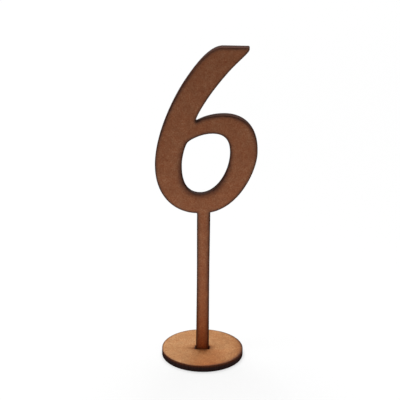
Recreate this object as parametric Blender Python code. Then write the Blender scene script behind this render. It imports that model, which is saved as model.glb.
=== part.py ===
"""Table number holder: a numeral on a flat stem, standing in a slotted round base.

Both pieces are laser-cut from one thickness of MDF sheet. The number plate is one cut-out: the
numeral 6, with its stem running straight down from the bowl. The stem's foot drops through a slot
in the middle of the base disc and ends flush with the disc's underside, and the plate lifts out
again for storage.

Frame: metres, +Z up, origin at the centre of the disc's underside. The numeral is read from -Y,
with +X to the reader's right. The plate rests with its joint at zero and lifts out along +Z.
"""

import math
from collections import namedtuple

import bmesh
import bpy

MM = 0.001

# Driving dimensions, in millimetres.
SHEET = 3.0  # thickness of the sheet that both pieces are cut from
HEIGHT = 150.0  # table top to the numeral's flat top
NUMERAL_HEIGHT = 79.1  # bottom of the bowl to the flat top
STEM_TOP_WIDTH = 5.9  # where the stem meets the bowl
STEM_WAIST_WIDTH = 5.6  # at its narrowest, a little above halfway up
STEM_FOOT_WIDTH = 5.8
STEM_WAIST_HEIGHT = 40.0
BASE_DIAMETER = 36.8
SLOT_SIDE_GAP = 0.1  # slot wall to each face of the plate
SLOT_END_GAP = 0.2  # slot wall to each edge of the stem
STEM_FILLET = 0.3  # radius in the corners where the stem meets the bowl
CROTCH_RADIUS = 0.35  # radius in the narrow corner between bowl and ascender
TIP_RADIUS = 0.7  # radius on the ascender's pointed tip

# Fineness of the faceted solids.
POINTS_PER_CURVE = 24
DISC_SIDES = 160
SHARP_ANGLE = 30  # degrees between two faces, above which their shared edge is shaded sharp

# Raw MDF, as linear colours. The plate is a redder brown than the disc.
PLATE_COLOR = (0.34, 0.165, 0.085)
BASE_COLOR = (0.5, 0.28, 0.14)
MDF_ROUGHNESS = 0.75

BOWL_BOTTOM = HEIGHT - NUMERAL_HEIGHT
CUTTER_DEPTH = 3 * SHEET  # the slot's cutter stands out above and below the disc

# A point on an outline, with the headings and lengths of its two handles. Headings are in degrees,
# counter-clockwise from +X, along the direction of travel.
Anchor = namedtuple("Anchor", "x z arrive before leave after")


def smooth(x, z, heading, before, after):
    """An anchor that the outline passes through without a corner."""
    return Anchor(x, z, heading, before, heading, after)


def fillet(x, z, arrive, leave, radius):
    """The two anchors of an arc that rounds the corner where two headings cross at (x, z)."""
    turn = math.radians(abs((leave - arrive + 180) % 360 - 180))
    setback = radius * math.tan(turn / 2)
    handle = 4 / 3 * math.tan(turn / 4) * radius
    arrive_rad, leave_rad = math.radians(arrive), math.radians(leave)
    start = (x - setback * math.cos(arrive_rad), z - setback * math.sin(arrive_rad))
    end = (x + setback * math.cos(leave_rad), z + setback * math.sin(leave_rad))
    return [Anchor(*start, arrive, handle, arrive, handle), Anchor(*end, leave, handle, leave, handle)]


def reach(anchor, before=None, after=None):
    """The anchor with a longer handle on the side that joins the next long curve."""
    return anchor._replace(before=before or anchor.before, after=after or anchor.after)


def numeral_outline():
    """The plate's outer outline above the stem, clockwise from the stem's left side to its right."""
    half_stem = STEM_TOP_WIDTH / 2
    top = HEIGHT
    bowl_left_start, bowl_left = fillet(-half_stem, BOWL_BOTTOM, 90, 180, STEM_FILLET)
    tip_start, tip_end = fillet(19.6, top, 0, -106, TIP_RADIUS)
    crotch_start, crotch_end = fillet(-3.65, top - 35.35, -73.4, 31.9, CROTCH_RADIUS)
    bowl_right, bowl_right_end = fillet(half_stem, BOWL_BOTTOM + 0.4, -166.3, -90, STEM_FILLET)
    return [
        reach(bowl_left_start, before=12),
        reach(bowl_left, after=8.1),
        smooth(-21.8, top - 55.7, 90, 17.3, 11.3),  # bowl's left side
        smooth(-8.3, top - 15.55, 58.1, 13.8, 9.3),  # ascender's outer edge
        smooth(7.8, top, 0, 5.5, 2.9),  # shoulder, where the flat top starts
        tip_start,
        reach(tip_end, after=0.5),
        smooth(17.4, top - 3.65, -132.4, 2, 6.2),  # under the tip
        smooth(5.5, top - 17.85, -125.9, 10.5, 7.9),  # ascender's inner edge
        reach(crotch_start, before=1.6),
        reach(crotch_end, after=2.7),
        smooth(9, top - 31.8, 0, 5.6, 9.2),  # bowl's top
        smooth(23.6, top - 49.5, -90, 11, 7.2),  # bowl's right side
        reach(bowl_right, before=14.1),
        reach(bowl_right_end, after=12),
    ]


def counter_outline():
    """The opening in the bowl, clockwise from its lowest point."""
    top = HEIGHT
    return [
        smooth(-1.8, top - 70.0, 180, 7.1, 5.5),
        smooth(-9.9, top - 57.3, 90, 8.2, 5.6),
        smooth(-7.3, top - 44.95, 53, 1.8, 1.2),
        smooth(3.9, top - 40.6, 0, 5.4, 6.2),
        smooth(11.4, top - 49.8, -90, 4.9, 10.3),
    ]


def stem_outline():
    """The stem from below the bowl on its right, round its foot and back up, slightly waisted."""
    half_waist, half_foot = STEM_WAIST_WIDTH / 2, STEM_FOOT_WIDTH / 2
    return [
        smooth(half_waist, STEM_WAIST_HEIGHT, -90, 10, 14),
        Anchor(half_foot, 0, -90, 14, 180, 0),
        Anchor(-half_foot, 0, 180, 0, 90, 14),
        smooth(-half_waist, STEM_WAIST_HEIGHT, 90, 14, 10),
    ]


def plate_outline():
    """The whole outer outline of the plate, clockwise."""
    return numeral_outline() + stem_outline()


def handle_end(anchor, heading, length):
    """Where a handle ends, in metres, that leaves the anchor at a heading."""
    angle = math.radians(heading)
    return ((anchor.x + length * math.cos(angle)) * MM, (anchor.z + length * math.sin(angle)) * MM, 0)


def add_spline(curve, anchors):
    """A closed Bezier spline through the anchors, drawn in the curve's own XY plane."""
    spline = curve.splines.new("BEZIER")
    spline.bezier_points.add(len(anchors) - 1)
    for point, anchor in zip(spline.bezier_points, anchors):
        point.handle_left_type = "FREE"
        point.handle_right_type = "FREE"
        point.co = (anchor.x * MM, anchor.z * MM, 0)
        point.handle_left = handle_end(anchor, anchor.arrive, -anchor.before)
        point.handle_right = handle_end(anchor, anchor.leave, anchor.after)
    spline.use_cyclic_u = True


def material(name, color, roughness):
    """A plain Principled BSDF material."""
    made = bpy.data.materials.new(name)
    made.use_nodes = True
    shader = made.node_tree.nodes["Principled BSDF"]
    shader.inputs["Base Color"].default_value = (*color, 1)
    shader.inputs["Roughness"].default_value = roughness
    shader.inputs["Metallic"].default_value = 0
    return made


def add_number_plate():
    """The numeral and its stem, one flat piece standing on edge across the middle of the disc."""
    curve = bpy.data.curves.new("number_plate", "CURVE")
    curve.dimensions = "2D"
    curve.fill_mode = "BOTH"
    curve.extrude = SHEET / 2 * MM
    curve.resolution_u = POINTS_PER_CURVE
    add_spline(curve, plate_outline())
    add_spline(curve, counter_outline())
    plate = bpy.data.objects.new("number_plate", curve)
    plate.rotation_euler = (math.radians(90), 0, 0)
    plate.data.materials.append(material("number_plate_mdf", PLATE_COLOR, MDF_ROUGHNESS))
    bpy.context.scene.collection.objects.link(plate)


def add_slot_cutter():
    """A guide block that cuts the slot."""
    length = (STEM_FOOT_WIDTH + 2 * SLOT_END_GAP) * MM
    width = (SHEET + 2 * SLOT_SIDE_GAP) * MM
    mesh = bpy.data.meshes.new("slot_cutter")
    bm = bmesh.new()
    bmesh.ops.create_cube(bm, size=1)
    bmesh.ops.scale(bm, vec=(length, width, CUTTER_DEPTH * MM), verts=bm.verts)
    bm.to_mesh(mesh)
    bm.free()
    cutter = bpy.data.objects.new("slot_cutter", mesh)
    cutter.location = (0, 0, SHEET / 2 * MM)
    cutter.display_type = "WIRE"
    cutter.hide_render = True
    bpy.context.scene.collection.objects.link(cutter)
    return cutter


def add_base_disc():
    """The round base, with its underside on the table and a slot through its middle."""
    mesh = bpy.data.meshes.new("base_disc")
    bm = bmesh.new()
    bmesh.ops.create_cone(
        bm,
        cap_ends=True,
        segments=DISC_SIDES,
        radius1=BASE_DIAMETER / 2 * MM,
        radius2=BASE_DIAMETER / 2 * MM,
        depth=SHEET * MM,
    )
    bm.to_mesh(mesh)
    bm.free()
    mesh.shade_smooth()
    mesh.set_sharp_from_angle(angle=math.radians(SHARP_ANGLE))
    disc = bpy.data.objects.new("base_disc", mesh)
    disc.location = (0, 0, SHEET / 2 * MM)
    disc.data.materials.append(material("base_disc_mdf", BASE_COLOR, MDF_ROUGHNESS))
    bpy.context.scene.collection.objects.link(disc)
    slot = disc.modifiers.new("slot", "BOOLEAN")
    slot.operation = "DIFFERENCE"
    slot.object = add_slot_cutter()


def main():
    for leftover in list(bpy.data.objects):
        bpy.data.objects.remove(leftover, do_unlink=True)
    add_base_disc()
    add_number_plate()


main()
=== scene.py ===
"""Looks of the table number holder: two laser-cut MDF pieces on a white table in soft light.

Each piece is rebuilt from the flat outline of its CAD node as a fine sheet: two flat faces, their
burnt edges slightly rounded, and a cut wall ribbed by the laser. Values stored on the points say
how far each one is from the nearest cut, how far the smoke stain spreads there, and how much it
belongs to the wall. The MDF material turns them into char and stain.

A sheet is modelled in its own frame: X and Y lie in the face that shows, which is at Z = 0, and
the sheet's thickness goes down to -Z. Lengths are in metres, except where a name says otherwise.
"""

import math
from collections import namedtuple

import bmesh
import bpy
import numpy as np
from mathutils import Matrix, Quaternion, Vector
from mathutils.geometry import delaunay_2d_cdt
from mathutils.kdtree import KDTree


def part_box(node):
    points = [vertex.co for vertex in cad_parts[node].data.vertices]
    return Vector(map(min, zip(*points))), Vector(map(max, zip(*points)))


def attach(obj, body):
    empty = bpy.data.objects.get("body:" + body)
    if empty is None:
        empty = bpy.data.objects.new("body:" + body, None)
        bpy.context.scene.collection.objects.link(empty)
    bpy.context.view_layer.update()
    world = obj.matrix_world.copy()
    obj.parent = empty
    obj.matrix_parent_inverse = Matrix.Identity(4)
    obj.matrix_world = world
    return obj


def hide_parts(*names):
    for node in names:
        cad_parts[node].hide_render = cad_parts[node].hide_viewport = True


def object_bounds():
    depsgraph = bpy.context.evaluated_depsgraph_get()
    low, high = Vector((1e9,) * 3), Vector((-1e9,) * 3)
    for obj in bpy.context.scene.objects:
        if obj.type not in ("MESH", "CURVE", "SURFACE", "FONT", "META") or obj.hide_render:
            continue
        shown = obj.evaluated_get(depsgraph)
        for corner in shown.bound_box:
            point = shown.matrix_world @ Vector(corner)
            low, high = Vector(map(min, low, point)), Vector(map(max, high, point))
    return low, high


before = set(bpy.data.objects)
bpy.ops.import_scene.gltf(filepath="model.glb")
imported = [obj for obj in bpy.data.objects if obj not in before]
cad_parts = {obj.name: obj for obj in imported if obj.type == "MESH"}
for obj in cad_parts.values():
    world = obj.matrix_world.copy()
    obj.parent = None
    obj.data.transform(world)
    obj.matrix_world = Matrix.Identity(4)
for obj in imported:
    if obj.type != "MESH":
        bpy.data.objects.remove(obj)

MM = 0.001

CAD_LOW, CAD_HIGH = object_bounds()
PLATE_LOW, PLATE_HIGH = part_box("number_plate")
DISC_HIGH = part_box("base_disc")[1]

# Fineness of the rebuilt sheets.
OUTLINE_STEP = 0.15 * MM  # spacing of the points along an outline
FINE_STEP = 0.42 * MM  # spacing of the face's points near a cut
COARSE_STEP = 1.1 * MM  # spacing of the face's points elsewhere
FINE_BAND = 2.2 * MM  # how far from a cut the fine spacing reaches
CORNER_TURN = math.radians(25)  # an outline turning more than this at one point has a corner there
CUT_GAP = 0.7 * FINE_STEP  # how far the points that fill a face stay from the cut's own
BAND_GAP = 0.5 * FINE_STEP  # how far the coarse points stay from the fine band
SPARSE = 4  # every fourth point of an outline is enough to find what is near it
WELD = 0.001 * MM  # points of a CAD node closer than this are one point
FACING = 0.99  # least Z of the normal of a face that shows, in the sheet's own frame
CDT_TOLERANCE = 1e-7  # in metres, for joining points of the triangulation

# The cut.
FRONT_ROUND = 0.14 * MM  # radius that the laser burns on the edge where it enters
BACK_ROUND = 0.09 * MM  # radius on the edge where it leaves
ROUND_STEPS = 3
WALL_ROWS = 7
RIB_DEPTH = 0.03 * MM
RIB_SHORTEST = 0.45 * MM
RIB_LONGEST = 2.4 * MM
RIB_WAVES = 60
RIB_LAG = 0.5 * MM  # how far the ribs trail behind at the back of the cut

# The smoke stain on a face spreads from the cuts, farthest where the cutter's draught blew it.
STAIN_BLUR = 1.2 * MM

# draught: which way it blew, across and up the sheet
# least, most: how far the stain spreads from the cuts that it blew from, and those it blew to
# bias: how much of the way from least to most a stain gets where the draught runs along the cut
# in_hole: how many times as wide the stain is round a hole
# sinking: how much wider it gets from the height of the numeral's top down to the sheet's Y = 0
Stain = namedtuple("Stain", "draught least most bias in_hole sinking")
PLATE_STAIN = Stain((0.22, 0.9), 0.6 * MM, 1.08 * MM, bias=0.6, in_hole=1.4, sinking=0.6)
DISC_STAIN = Stain((0.9, -0.5), 0.45 * MM, 1.25 * MM, bias=0.15, in_hole=0.45, sinking=0)

# Colours, as linear RGB.
PLATE_FACE = (0.362, 0.135, 0.059)
BASE_FACE = (0.304, 0.144, 0.0565)
PLATE_BROWN = (0.092, 0.042, 0.028)  # lightly smoked
PLATE_RED = (0.09, 0.03, 0.017)  # heavily smoked
DISC_BROWN = (0.12, 0.04, 0.015)
DISC_RED = (0.11, 0.034, 0.012)
CHAR = (0.03, 0.012, 0.008)
WALL_BROWN = (0.1, 0.027, 0.0095)  # on a cut wall, next to the face
WALL_BLACK = (0.029, 0.0155, 0.014)  # on the rest of it
WALL_BROWN_DEPTH = 1.2 * MM
UP_SHEEN = (0.052, 0.032, 0.027)  # painted sheen of the light from above, on the cuts that face up
UP_SHEEN_COVER = 0.7  # how much of a level cut it hides
PLATE_WALL_TONES = (1.05, 0.75)  # how bright a wall is where the stain is narrow and where it is wide, so darker in the holes and lower down
DISC_WALL_TONES = (0.8, 0.8)

# The board's mottling is uneven pigment: darker spots are more saturated too.
PIGMENT_PER_TONE = 0.6  # how much pigment a spot gains for each unit that its tone falls below 1
FIBRE_ANGLES = [math.radians(angle) for angle in (10, 55, 100, 145)]
FIBRE_STRETCH = (1, 0.16, 1)  # noise is drawn out along an axis that is scaled down
WALL_LINE_STRETCH = (1, 1, 0.06)
NOISE_LOW, NOISE_HIGH = 0.3, 0.7  # nearly all of a noise texture lies between these

CHARRED_BELOW_TOP = 36 * MM  # the charring is full from here down, and faint at the numeral's top
TOP_CHARRING = 0.15

FACE_SPECULAR = 0.15
WALL_ROUGHNESS = 0.85
BUMP_HEIGHT = 0.03 * MM
BUMP_STRENGTH = 0.5

# The stem is browner towards its foot: painted warm light bounced from the disc, and shade near it.
# It is lighter again just above the disc: a painted lift, so that the shade there is not too deep.
FOOT_SHADE_TOP = 12 * MM  # the tint is full up to this height
FOOT_SHADE_FADE = 21 * MM  # and above it falls to 1 / e over this much more
FOOT_BOUNCE_SHADE_TINT = (0.93, 0.64, 0.36, 1)
FOOT_LIGHT_LOW, FOOT_LIGHT_HIGH = 4 * MM, 10 * MM
FOOT_PAINTED_LIFT = 1.2

# Darker streaks on the disc at the slot's ends, and in front of the slot a painted shadow and reflection
# of the stem.
# A plume runs from the slot in a direction in degrees, and lies some way to the right of the slot's
# middle, as seen along that direction. It thickens the board's colour by the thickening at the slot, and
# by less farther out and to its sides.
Plume = namedtuple("Plume", "direction right reach half_width thickening")
SLOT_MARKS_AND_SHADE = (
    Plume(180, -1.0 * MM, 2.6 * MM, 0.8 * MM, 0.65),
    Plume(180, 0.8 * MM, 3.0 * MM, 2.0 * MM, 0.25),
    Plume(0, -0.8 * MM, 1.2 * MM, 1.4 * MM, 0.6),
    # to the front: a painted shadow and reflection of the stem
    Plume(-90, 0, 1.7 * MM, 3.4 * MM, 0.3),
)
PLUME_START, PLUME_FULL = -0.6 * MM, 0.1 * MM  # how far out of the slot

# Painted light: the disc gets a warmer tone, brighter in red, in front of the plate, where the plate's
# shadow falls.
FRONT_WARM_LIGHT = (1.1, 0.92, 0.79, 1)
FRONT_LIGHT_REACH = 3.5 * MM
FRONT_LIGHT_CENTRE = 3 * MM
FRONT_LIGHT_HALF_WIDTH = 8 * MM

# Painted shade: the disc gets browner from its left to its right, as the light falls more from the left.
# It also gets browner towards its right and front rims.
SIDE_REACH = 14 * MM
LEFT_THICKENING, RIGHT_THICKENING = -0.05, 0.03
RIGHT_RIM_START, FRONT_RIM_START, RIM_END = 12 * MM, 9 * MM, 18 * MM
RIM_THICKENING = 0.14

# The table top, the backdrop and the lamp. The camera sees the table's white partly as a glow, which
# makes up for the lamp's fall-off, so that the table shows shadows but fades into the backdrop.
TABLE_HALF = 4  # half its width
TABLE_SEEN = 0.27  # reflectance for the camera
TABLE_BOUNCE_NEAR, TABLE_BOUNCE_FAR = 1.0, 0.3  # reflectance for light that goes on to the object
BOUNCE_START, BOUNCE_END = 0.08, 0.3  # distances from the object, between near and far
TABLE_WHITE = 1.01
LAMP_SHARE = 0.53  # how much of that white is left to the lamp, straight below it
AMBIENT = 0.12  # strength of the surround as a light
SOFTBOX_DIRECTION = Vector((-0.05, 0.3, 1)).normalized()
SOFTBOX_DISTANCE = 1.1
SOFTBOX_SIZE = 1.0
SOFTBOX_WATTS = 26
BELOW_LAMP = (0, 0.3, 0)  # roughly where on the table that is
LAMP_SPREAD = 1.2  # how far from there the lamp's share falls to a quarter

# The camera, with angles in degrees.
AZIMUTH, ELEVATION, ROLL = 1.5, 24.12, 0.5
CAMERA_DISTANCE = 1.188
CAMERA_LENS, CAMERA_SENSOR = 240, 36  # in millimetres
AIM = (CAD_LOW + CAD_HIGH) / 2 + Vector((-2.59, 0, 1.73)) * MM


def sheet_frame(origin, across, up):
    """The matrix from a sheet's own frame to the world."""
    columns = (Vector(across), Vector(up), Vector(across).cross(Vector(up)))
    matrix = Matrix(columns).transposed().to_4x4()
    matrix.translation = origin
    return matrix


def show_face_outlines(node, to_world):
    """The closed outlines round a CAD node's show face, each with the material on its left."""
    bm = bmesh.new()
    bm.from_mesh(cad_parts[node].data)
    bm.transform(to_world.inverted())
    bmesh.ops.remove_doubles(bm, verts=bm.verts, dist=WELD)
    bm.normal_update()
    show = {face for face in bm.faces if face.normal.z > FACING}
    following = {}
    for face in show:
        for loop in face.loops:
            if not all(other in show for other in loop.edge.link_faces):
                following[loop.vert] = loop.link_loop_next.vert
    outlines = []
    while following:
        start = min(following, key=lambda vert: vert.index)
        points, vert = [], start
        while vert in following:
            points.append(vert.co.xy)
            vert = following.pop(vert)
        outlines.append(np.array(points))
    bm.free()
    return sorted(outlines, key=lambda outline: -np.ptp(outline[:, 1]))


def turns(points):
    """How far a closed outline turns at each of its points, in radians."""
    into = points - np.roll(points, 1, axis=0)
    out = np.roll(points, -1, axis=0) - points
    cross = into[:, 0] * out[:, 1] - into[:, 1] * out[:, 0]
    return np.arctan2(cross, (into * out).sum(1))


def smooth_run(points, step):
    """Even points along a smooth curve through the given ones, without the last one."""
    at = np.concatenate([[0], np.cumsum(np.hypot(*np.diff(points, axis=0).T))])
    before = np.concatenate([[0], np.arange(len(points) - 1)])
    after = np.concatenate([np.arange(1, len(points)), [len(points) - 1]])
    slope = (points[after] - points[before]) / (at[after] - at[before])[:, None]
    count = max(1, round(at[-1] / step))
    wanted = np.arange(count) * at[-1] / count
    k = np.clip(np.searchsorted(at, wanted, side="right") - 1, 0, len(at) - 2)
    gap = (at[k + 1] - at[k])[:, None]
    t = (wanted - at[k])[:, None] / gap
    return (
        (2 * t**3 - 3 * t**2 + 1) * points[k]
        + (t**3 - 2 * t**2 + t) * gap * slope[k]
        + (3 * t**2 - 2 * t**3) * points[k + 1]
        + (t**3 - t**2) * gap * slope[k + 1]
    )


def even_outline(points, step):
    """A closed outline again with even points, smooth between its corners."""
    corners = np.flatnonzero(np.abs(turns(points)) > CORNER_TURN)
    if len(corners) == 0:
        wrap = 3  # points repeated before and after the seam, so that it is smooth too
        ring = np.concatenate([points[-wrap:], points, points[: wrap + 1]])
        lead = np.hypot(*np.diff(ring[: wrap + 1], axis=0).T).sum()
        length = np.hypot(*np.diff(np.vstack([points, points[:1]]), axis=0).T).sum()
        much_finer = step / 8
        fine = smooth_run(ring, much_finer)
        along = np.concatenate([[0], np.cumsum(np.hypot(*np.diff(fine, axis=0).T))])
        wanted = lead + np.arange(round(length / step)) * length / round(length / step)
        return np.stack([np.interp(wanted, along, fine[:, axis]) for axis in (0, 1)], axis=1)
    points = np.roll(points, -corners[0], axis=0)
    points = np.vstack([points, points[:1]])
    stops = list(corners - corners[0]) + [len(points) - 1]
    runs = [smooth_run(points[a : b + 1], step) for a, b in zip(stops, stops[1:])]
    return np.vstack(runs)


def outward(points):
    """Normals pointing off the material, lengthened at corners so that an inset keeps its width."""
    chord = np.roll(points, -1, axis=0) - np.roll(points, 1, axis=0)
    normal = np.stack([chord[:, 1], -chord[:, 0]], axis=1)
    normal /= np.linalg.norm(normal, axis=1, keepdims=True)
    return normal / np.cos(turns(points) / 2)[:, None]


def wall_profile(thickness):
    """(inset, depth, how much of the wall it is) for each row of points down the cut."""
    quarter = np.linspace(0, math.pi / 2, ROUND_STEPS + 1)
    rows = [
        (FRONT_ROUND * (1 - math.sin(a)), FRONT_ROUND * (1 - math.cos(a)), math.sin(a))
        for a in quarter
    ]
    depths = np.linspace(FRONT_ROUND, thickness - BACK_ROUND, WALL_ROWS + 1)
    rows += [(0, depth, 1) for depth in depths[1:-1]]
    rows += [
        (BACK_ROUND * (1 - math.sin(a)), thickness - BACK_ROUND * (1 - math.cos(a)), math.sin(a))
        for a in quarter[::-1]
    ]
    return np.array(rows)


def rib_pattern(length, seed):
    """A function of the distance along an outline: the ribs left by the laser, 0 to 1 deep."""
    rng = np.random.default_rng(seed)
    fewest, most = length / RIB_LONGEST, length / RIB_SHORTEST
    cycles = np.round(rng.uniform(fewest, most, RIB_WAVES))
    phases = rng.uniform(0, 2 * math.pi, RIB_WAVES)
    swing = 3 * math.sqrt(RIB_WAVES)  # from the usual lowest sum of the waves to the usual highest

    def ribs(along):
        waves = np.cos(2 * math.pi * along[..., None] / length * cycles + phases)
        return np.clip(0.5 + waves.sum(-1) / swing, 0, 1)

    return ribs


def inside(points, outlines):
    """Whether each point is on the material, by counting the outline's crossings above it."""
    crossings = np.zeros(len(points), int)
    x, y = points.T
    for outline in outlines:
        for a, b in zip(outline, np.roll(outline, -1, axis=0)):
            if a[0] == b[0]:
                continue
            spans = (min(a[0], b[0]) <= x) & (x < max(a[0], b[0]))
            crossings[spans] += y[spans] < a[1] + (x[spans] - a[0]) * (b[1] - a[1]) / (b[0] - a[0])
    return crossings % 2 == 1


def lattice(low, high, step):
    """Points of a triangular lattice over a rectangle."""
    xs = np.arange(low[0], high[0], step)
    ys = np.arange(low[1], high[1], step * math.sqrt(3) / 2)
    grid = np.stack(np.meshgrid(xs, ys), axis=-1)
    grid[1::2, :, 0] += step / 2
    return grid.reshape(-1, 2)


def distances(points, samples):
    """The distance from each point to the nearest of the samples."""
    tree = KDTree(len(samples))
    for i, sample in enumerate(samples):
        tree.insert((*sample, 0), i)
    tree.balance()
    return np.array([tree.find((*point, 0))[2] for point in points])


def face_points(outlines, rings):
    """Points to fill a face with, finer near the cuts."""
    edge = np.vstack(rings)
    sparse_outlines = [outline[::SPARSE] for outline in outlines]
    kept = []
    for step, nearest, farthest in (
        (FINE_STEP, CUT_GAP, FINE_BAND),
        (COARSE_STEP, FINE_BAND + BAND_GAP, math.inf),
    ):
        points = lattice(edge.min(0), edge.max(0), step)
        points = points[inside(points, sparse_outlines)]
        gap = distances(points, edge)
        kept.append(points[(gap > nearest) & (gap < farthest)])
    return np.vstack(kept)


def stain_width(points, outlines, stain):
    """How far the smoke stain spreads at each point, in millimetres, blurred along the cuts."""
    samples = np.vstack([outline[::SPARSE] for outline in outlines])
    widths = []
    for index, outline in enumerate(outlines):
        facing = np.clip(outward(outline)[::SPARSE] @ np.array(stain.draught) + stain.bias, 0, 1)
        settled = 1 + stain.sinking * (1 - outline[::SPARSE, 1] / CAD_HIGH.z)
        width = stain.least + (stain.most - stain.least) * facing
        widths.append(width * settled * (stain.in_hole if index else 1))
    widths = np.concatenate(widths)
    spread = np.empty(len(points))
    for i, point in enumerate(points):
        gap = np.hypot(*(samples - point).T)
        near = np.exp((gap.min() - gap) / STAIN_BLUR)
        spread[i] = (near * widths).sum() / near.sum()
    return spread / MM


def wall_points(outline, profile, thickness, seed):
    """The points of one cut, ring after ring from the front to the back."""
    along = np.arange(len(outline)) * OUTLINE_STEP
    ribs = rib_pattern(len(outline) * OUTLINE_STEP, seed)
    normal = outward(outline)
    points = []
    for inset, depth, share in profile:
        lag = RIB_LAG * (depth / thickness) ** 2
        relief = RIB_DEPTH * ribs(along + lag) * share
        ring = outline - normal * (inset + relief)[:, None]
        points += [(x, y, -depth) for x, y in ring]
    return points


def wall_quads(start, rows, count):
    """The quads between the rings of one cut, whose points are numbered from start."""
    quads = []
    for row in range(rows - 1):
        upper, lower = start + row * count, start + (row + 1) * count
        for i in range(count):
            j = (i + 1) % count
            quads.append((upper + j, upper + i, lower + i, lower + j))
    return quads


def face_triangles(rings, filling):
    """Triangles over a face, whose points are numbered round each ring and then the filling."""
    ring_edges, start = [], 0
    for ring in rings:
        count = len(ring)
        ring_edges += [(start + i, start + (i + 1) % count) for i in range(count)]
        start += count
    flat = [Vector(point) for point in np.vstack(rings + [filling])]
    points, _, triangles, origins, _, _ = delaunay_2d_cdt(flat, ring_edges, [], 0, CDT_TOLERANCE)
    corners = [[points[i] for i in triangle] for triangle in triangles]
    centres = np.array([sum(three, Vector((0, 0))) / 3 for three in corners])
    kept = [triangle for triangle, keep in zip(triangles, inside(centres, rings)) if keep]
    return [[origins[i][0] for i in triangle] for triangle in kept]


def cut_sheet(name, node, to_world, thickness, stain, seed):
    """A laser-cut sheet in place of a CAD node, as one closed mesh."""
    outlines = [even_outline(points, OUTLINE_STEP) for points in show_face_outlines(node, to_world)]
    profile = wall_profile(thickness)
    rows = len(profile)
    verts, edge_mm, wall, faces = [], [], [], []
    front, back = [], []
    for index, outline in enumerate(outlines):
        start, count = len(verts), len(outline)
        verts += wall_points(outline, profile, thickness, seed + index)
        faces += wall_quads(start, rows, count)
        edge_mm += list(np.repeat(profile[:, 0] / MM, count))
        wall += list(np.repeat(profile[:, 2], count))
        front += range(start, start + count)
        back += range(start + (rows - 1) * count, start + rows * count)

    rings = [outline - outward(outline) * FRONT_ROUND for outline in outlines]
    filling = face_points(outlines, rings)
    gap = distances(filling, np.vstack(outlines)) / MM
    for side, z in ((front, 0), (back, -thickness)):
        side.extend(range(len(verts), len(verts) + len(filling)))
        verts += [(x, y, z) for x, y in filling]
        edge_mm += list(gap)
        wall += [0] * len(filling)
    for a, b, c in face_triangles(rings, filling):
        faces.append((front[a], front[b], front[c]))
        faces.append((back[c], back[b], back[a]))

    mesh = bpy.data.meshes.new(name)
    mesh.from_pydata(verts, [], faces)
    mesh.validate()
    mesh.shade_smooth()
    stain_mm = stain_width(np.array(verts)[:, :2], outlines, stain)
    for key, values in (("edge_mm", edge_mm), ("wall", wall), ("stain_mm", stain_mm)):
        mesh.attributes.new(key, "FLOAT", "POINT").data.foreach_set("value", np.array(values, np.float32))
    piece = bpy.data.objects.new(name, mesh)
    bpy.context.scene.collection.objects.link(piece)
    piece.matrix_world = to_world
    return piece


def opaque(color):
    """A colour with its alpha."""
    return (*color, 1)


def grey(level):
    """A grey, as a colour with its alpha."""
    return (level, level, level, 1)


class Shader:
    """Adds nodes to a material, with sockets or plain values as their inputs."""

    def __init__(self, name):
        self.material = bpy.data.materials.new(name)
        self.material.use_nodes = True
        self.tree = self.material.node_tree
        self.surface = self.tree.nodes["Principled BSDF"]

    def node(self, kind, inputs, **settings):
        """A new node of a kind."""
        node = self.tree.nodes.new(kind)
        for key, value in settings.items():
            setattr(node, key, value)
        for key, value in inputs.items():
            self.feed(node.inputs[key], value)
        return node

    def feed(self, socket, value):
        """Links a socket to another one, or sets its value."""
        if isinstance(value, bpy.types.NodeSocket):
            self.tree.links.new(value, socket)
        else:
            socket.default_value = value

    def math(self, operation, *values):
        """One step of arithmetic."""
        return self.node("ShaderNodeMath", dict(enumerate(values)), operation=operation).outputs[0]

    def times(self, a, b):
        """The product of two values."""
        return self.math("MULTIPLY", a, b)

    def decay(self, distance, reach):
        """1 at no distance, falling to 1 / e over the reach."""
        return self.math("POWER", math.e, self.math("DIVIDE", distance, -reach))

    def bell(self, value):
        """1 where the value is 0, falling off smoothly: 0.37 at 1, nothing by 2."""
        return self.math("POWER", math.e, self.times(self.times(value, value), -1))

    def span(self, value, low, high, to_low=0.0, to_high=1.0):
        """The value carried smoothly from one range to another, and held at its ends."""
        inputs = {0: value, 1: low, 2: high, 3: to_low, 4: to_high}
        return self.node("ShaderNodeMapRange", inputs, interpolation_type="SMOOTHSTEP").outputs[0]

    def vary(self, noise, to_low, to_high):
        """Noise as a value that varies between two others."""
        return self.span(noise, NOISE_LOW, NOISE_HIGH, to_low, to_high)

    def mix(self, factor, a, b, blend="MIX"):
        """Colour a, with that much of colour b in it."""
        node = self.node("ShaderNodeMix", {0: factor, 6: a, 7: b}, data_type="RGBA", blend_type=blend)
        return node.outputs[2]

    def tint(self, color, by):
        """The colour times another one, or times a value."""
        return self.mix(1.0, color, by, "MULTIPLY")

    def thicken(self, color, amount):
        """The colour with its pigment thicker by that share: darker, and more saturated too."""
        inputs = {"Color": color, "Gamma": self.math("ADD", amount, 1)}
        return self.node("ShaderNodeGamma", inputs).outputs[0]

    def split(self, vector):
        """The X, Y and Z of a vector."""
        return self.node("ShaderNodeSeparateXYZ", {"Vector": vector}).outputs

    def attribute(self, name):
        """A value that is stored on the mesh's points."""
        return self.node("ShaderNodeAttribute", {}, attribute_name=name).outputs["Fac"]

    def place(self):
        """The place on the object, in its own frame."""
        return self.node("ShaderNodeTexCoord", {}).outputs["Object"]

    def noise(self, where, scale, detail=3.0, roughness=0.5, distortion=0.0):
        """Smooth noise, with that many waves to the metre."""
        inputs = {"Vector": where, "Scale": scale, "Detail": detail}
        inputs.update({"Roughness": roughness, "Distortion": distortion})
        return self.node("ShaderNodeTexNoise", inputs).outputs[0]

    def stretched(self, where, angle, scale):
        """Places turned in the sheet's plane and scaled, so that noise on them is drawn out."""
        inputs = {"Vector": where, "Rotation": (0, 0, angle), "Scale": scale}
        return self.node("ShaderNodeMapping", inputs).outputs[0]


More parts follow.
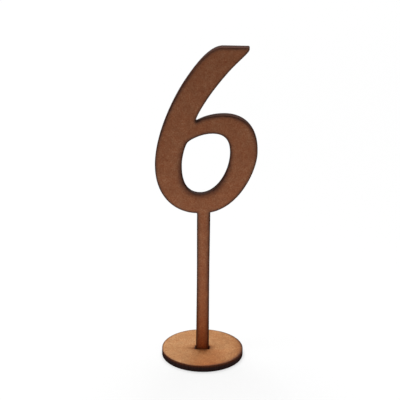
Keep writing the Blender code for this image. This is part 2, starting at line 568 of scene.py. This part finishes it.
def mdf_face(s, where, face, mottle, grain):
    """The board's own colour: blotches of pressed wood dust, short fibres and dark specks."""
    cloud = s.noise(where, scale=130, detail=2)
    tone = s.vary(cloud, 0.93, 1.07)
    tone = s.times(tone, s.vary(mottle, 0.85, 1.14))
    tone = s.times(tone, s.vary(grain, 0.76, 1.22))
    for angle in FIBRE_ANGLES:
        along_fibre = s.stretched(where, angle, FIBRE_STRETCH)
        fibre = s.noise(along_fibre, scale=2600, detail=2, distortion=0.7)
        tone = s.times(tone, s.span(fibre, 0.6, 0.74, 1.0, 0.78))
    speck = s.noise(where, scale=700, detail=1, roughness=0.4)
    tone = s.times(tone, s.span(speck, 0.66, 0.74, 1.0, 0.6))
    warmth = s.noise(where, scale=260, roughness=0.6, distortion=0.4)
    tint = s.mix(s.span(warmth, 0.35, 0.65), (0.985, 1.01, 1.03, 1), (1.02, 0.985, 0.96, 1))
    board = s.tint(opaque(face), tint)
    return s.thicken(board, s.times(s.math("SUBTRACT", 1, tone), PIGMENT_PER_TONE))


def stained(s, where, board, stain_mm, brown, red):
    """The board with the smoke stain beside a cut, and the char right at its edge."""
    edge = s.attribute("edge_mm")
    ragged = s.noise(where, scale=800, detail=2, roughness=0.6)
    burnt = s.span(s.noise(where, scale=70, detail=1), 0.36, 0.5)  # 1 in most places, 0 in patches
    spread = s.times(stain_mm, s.vary(ragged, 0.85, 1.15))
    haze = s.bell(s.math("DIVIDE", edge, spread))
    haze = s.times(haze, s.span(burnt, 0, 1, 0.74, 0.93))
    smoke = s.mix(s.span(stain_mm, 0.95, 1.3), opaque(brown), opaque(red))
    board = s.mix(haze, board, smoke)

    charring = s.bell(s.math("DIVIDE", edge, s.vary(ragged, 0.3, 0.55)))
    charring = s.times(charring, s.span(burnt, 0, 1, 0.57, 0.96))
    charring = s.times(charring, s.span(stain_mm, 0.2, 0.8, 0.3, 0.95))
    # On the disc, Y is never within CHARRED_BELOW_TOP of the numeral's height, so it chars in full.
    below_top = s.math("SUBTRACT", CAD_HIGH.z, s.split(where)[1])
    charring = s.times(charring, s.span(below_top, 0, CHARRED_BELOW_TOP, TOP_CHARRING, 1.0))
    return s.mix(charring, board, opaque(CHAR))


def cut_wall(s, where, lines, stain_mm, tones):
    """A cut wall: brown next to the face and black behind it, with a painted sheen where it faces up."""
    depth = s.times(s.split(where)[2], -1)
    soot = s.mix(s.span(depth, 0, WALL_BROWN_DEPTH), opaque(WALL_BROWN), opaque(WALL_BLACK))
    soot = s.tint(soot, s.vary(lines, 0.75, 1.3))
    up = s.split(s.node("ShaderNodeNewGeometry", {}).outputs["Normal"])[2]
    # painted sheen where the cut faces the light from above
    soot = s.mix(s.span(up, 0.3, 0.9, 0.0, UP_SHEEN_COVER), soot, opaque(UP_SHEEN))
    return s.tint(soot, s.span(stain_mm, 1.1, 1.4, *tones))


def mdf_material(name, face, brown, red, wall_tones, marks_and_painted_light):
    """Raw MDF with laser-charred cuts and smoke stains beside them."""
    s = Shader(name)
    where = s.place()
    stain_mm = s.attribute("stain_mm")
    mottle = s.noise(where, scale=480, detail=4, roughness=0.7, distortion=0.3)
    grain = s.noise(where, scale=1400, roughness=0.7)
    lines = s.noise(s.stretched(where, 0, WALL_LINE_STRETCH), scale=2200, roughness=0.6)
    board = mdf_face(s, where, face, mottle, grain)
    board = stained(s, where, board, stain_mm, brown, red)
    # the piece's painted light and shade, and on the disc the marks round the slot
    board = marks_and_painted_light(s, where, board)
    soot = cut_wall(s, where, lines, stain_mm, wall_tones)

    wall = s.attribute("wall")
    s.feed(s.surface.inputs["Base Color"], s.mix(wall, board, soot))
    roughness = s.mix(wall, s.vary(mottle, 0.62, 0.78), grey(WALL_ROUGHNESS))
    s.feed(s.surface.inputs["Roughness"], roughness)
    s.feed(s.surface.inputs["Specular IOR Level"], s.mix(wall, grey(FACE_SPECULAR), grey(0.0)))
    height = s.math("ADD", s.times(mottle, 0.5), s.times(grain, 0.5))
    bumps = {"Height": s.mix(wall, height, lines), "Strength": BUMP_STRENGTH, "Distance": BUMP_HEIGHT}
    s.feed(s.surface.inputs["Normal"], s.node("ShaderNodeBump", bumps).outputs[0])
    return s.material


def painted_foot_light(s, where, board):
    """The painted light on the plate: browner towards the stem's foot, as painted warm bounce light and
    shade from the disc, and a painted lift just above the disc.
    """
    height = s.split(where)[1]
    above = s.math("MAXIMUM", s.math("SUBTRACT", height, FOOT_SHADE_TOP), 0)
    near = s.decay(above, FOOT_SHADE_FADE)
    # painted warm bounce light and shade towards the foot
    board = s.mix(near, board, s.tint(board, FOOT_BOUNCE_SHADE_TINT))
    # painted lift of the shade just above the disc
    return s.tint(board, s.span(height, FOOT_LIGHT_LOW, FOOT_LIGHT_HIGH, FOOT_PAINTED_LIFT, 1.0))


def disc_tone_and_painted_light(s, x, y, board):
    """The disc's board with painted light: warmer in front, where the plate's shadow falls, and browner
    to the right as painted shade; browner towards the right and front rims too.
    """
    sideways = s.bell(s.math("DIVIDE", s.math("SUBTRACT", x, FRONT_LIGHT_CENTRE), FRONT_LIGHT_HALF_WIDTH))
    front = s.times(s.span(s.times(y, -1), 0, FRONT_LIGHT_REACH), sideways)
    # painted warm light where the plate's shadow falls
    board = s.mix(front, board, s.tint(board, FRONT_WARM_LIGHT))
    # painted shade: browner to the right, as the light falls more from the left
    board = s.thicken(board, s.span(x, -SIDE_REACH, SIDE_REACH, LEFT_THICKENING, RIGHT_THICKENING))
    right_rim = s.span(x, RIGHT_RIM_START, RIM_END, 0.0, RIM_THICKENING)
    front_rim = s.times(s.span(y, -RIM_END, -FRONT_RIM_START, RIM_THICKENING, 0.0), sideways)
    return s.thicken(board, s.math("ADD", right_rim, front_rim))


def disc_light_and_slot_marks(half_slot, half_sheet):
    """The disc's painted light, and the darker marks round the slot, with a painted shadow and reflection
    of the stem in front of it.
    """

    def marks_and_painted_light(s, where, board):
        x, y, _ = s.split(where)
        board = disc_tone_and_painted_light(s, x, y, board)
        for plume in SLOT_MARKS_AND_SHADE:
            direction = math.radians(plume.direction)
            dx, dy = math.cos(direction), math.sin(direction)
            out = s.math("ADD", s.times(x, dx), s.times(y, dy))
            out = s.math("SUBTRACT", out, abs(dx) * half_slot + abs(dy) * half_sheet)
            aside = s.math("SUBTRACT", s.times(x, dy), s.times(y, dx))
            aside = s.math("SUBTRACT", aside, plume.right)
            along = s.decay(s.math("MAXIMUM", out, 0), plume.reach)
            across = s.bell(s.math("DIVIDE", aside, plume.half_width))
            begun = s.span(out, PLUME_START, PLUME_FULL, 0.0, plume.thickening)
            board = s.thicken(board, s.times(s.times(along, across), begun))
        return board

    return marks_and_painted_light


def table_glow(s, where):
    """How much the table top has to glow to look evenly white under the lamp."""
    away = s.node("ShaderNodeVectorMath", {0: where, 1: BELOW_LAMP}, operation="DISTANCE")
    spread = s.math("DIVIDE", away.outputs["Value"], LAMP_SPREAD)
    spread = s.math("ADD", s.times(spread, spread), 1)
    return s.math("SUBTRACT", TABLE_WHITE, s.math("DIVIDE", LAMP_SHARE, s.times(spread, spread)))


def add_floor():
    """The white table top. It fades into the backdrop far from the object."""
    mesh = bpy.data.meshes.new("table_top")
    corners = [(-1, -1), (1, -1), (1, 1), (-1, 1)]
    mesh.from_pydata([(x * TABLE_HALF, y * TABLE_HALF, 0) for x, y in corners], [], [(0, 1, 2, 3)])
    floor = bpy.data.objects.new("table_top", mesh)
    bpy.context.scene.collection.objects.link(floor)
    s = Shader("white_table")
    where = s.place()
    seen = s.node("ShaderNodeLightPath", {}).outputs["Is Camera Ray"]
    reach = s.node("ShaderNodeVectorMath", {0: where}, operation="LENGTH").outputs["Value"]
    bounce = s.span(reach, BOUNCE_START, BOUNCE_END, TABLE_BOUNCE_NEAR, TABLE_BOUNCE_FAR)
    s.feed(s.surface.inputs["Base Color"], s.mix(seen, bounce, grey(TABLE_SEEN)))
    s.feed(s.surface.inputs["Roughness"], 0.9)
    s.feed(s.surface.inputs["Specular IOR Level"], 0.0)
    s.feed(s.surface.inputs["Emission Color"], grey(1))
    s.feed(s.surface.inputs["Emission Strength"], s.times(table_glow(s, where), seen))
    mesh.materials.append(s.material)


def add_sky():
    """A dim even surround, seen as a plain white backdrop."""
    world = bpy.data.worlds.new("studio")
    bpy.context.scene.world = world
    world.use_nodes = True
    tree = world.node_tree
    background = tree.nodes["Background"]
    background.inputs["Color"].default_value = (1, 1, 1, 1)
    path = tree.nodes.new("ShaderNodeLightPath")
    pick = tree.nodes.new("ShaderNodeMix")
    tree.links.new(path.outputs["Is Camera Ray"], pick.inputs["Factor"])
    pick.inputs["A"].default_value = AMBIENT
    pick.inputs["B"].default_value = 1.0
    tree.links.new(pick.outputs[0], background.inputs["Strength"])


def add_softbox():
    """One large soft lamp, high up behind the numeral and a little to the left."""
    data = bpy.data.lights.new("softbox", "AREA")
    data.shape = "SQUARE"
    data.size = SOFTBOX_SIZE
    data.energy = SOFTBOX_WATTS
    lamp = bpy.data.objects.new("softbox", data)
    lamp.location = SOFTBOX_DIRECTION * SOFTBOX_DISTANCE
    lamp.rotation_mode = "QUATERNION"
    lamp.rotation_quaternion = SOFTBOX_DIRECTION.to_track_quat("Z", "Y")
    lamp.visible_camera = False
    bpy.context.scene.collection.objects.link(lamp)


def add_camera():
    """A long lens from a little above, almost square on to the numeral."""
    azimuth, elevation, roll = (math.radians(angle) for angle in (AZIMUTH, ELEVATION, ROLL))
    level = math.cos(elevation)
    back = Vector((math.sin(azimuth) * level, -math.cos(azimuth) * level, math.sin(elevation)))
    data = bpy.data.cameras.new("camera")
    data.lens = CAMERA_LENS
    data.sensor_width = CAMERA_SENSOR
    camera = bpy.data.objects.new("camera", data)
    camera.rotation_mode = "QUATERNION"
    camera.location = AIM + back * CAMERA_DISTANCE
    camera.rotation_quaternion = (-back).to_track_quat("-Z", "Y") @ Quaternion((0, 0, 1), roll)
    bpy.context.scene.collection.objects.link(camera)
    bpy.context.scene.camera = camera


def main():
    plate_frame = sheet_frame((0, PLATE_LOW.y, 0), (1, 0, 0), (0, 0, 1))
    disc_frame = sheet_frame((0, 0, DISC_HIGH.z), (1, 0, 0), (0, 1, 0))
    sheet = PLATE_HIGH.y - PLATE_LOW.y
    plate = cut_sheet("numeral_and_stem", "number_plate", plate_frame, sheet, PLATE_STAIN, seed=6)
    disc = cut_sheet("round_base", "base_disc", disc_frame, sheet, DISC_STAIN, seed=60)
    half_slot = show_face_outlines("base_disc", disc_frame)[1][:, 0].max()
    disc_marks_and_light = disc_light_and_slot_marks(half_slot, sheet / 2)
    plate.data.materials.append(
        mdf_material("mdf_of_plate", PLATE_FACE, PLATE_BROWN, PLATE_RED, PLATE_WALL_TONES, painted_foot_light)
    )
    disc.data.materials.append(
        mdf_material("mdf_of_base", BASE_FACE, DISC_BROWN, DISC_RED, DISC_WALL_TONES, disc_marks_and_light)
    )
    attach(plate, "plate")
    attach(disc, "base")
    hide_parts("number_plate")
    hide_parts("base_disc")
    add_floor()
    add_sky()
    add_softbox()
    add_camera()
    bpy.context.scene.view_settings.view_transform = "Standard"


main()
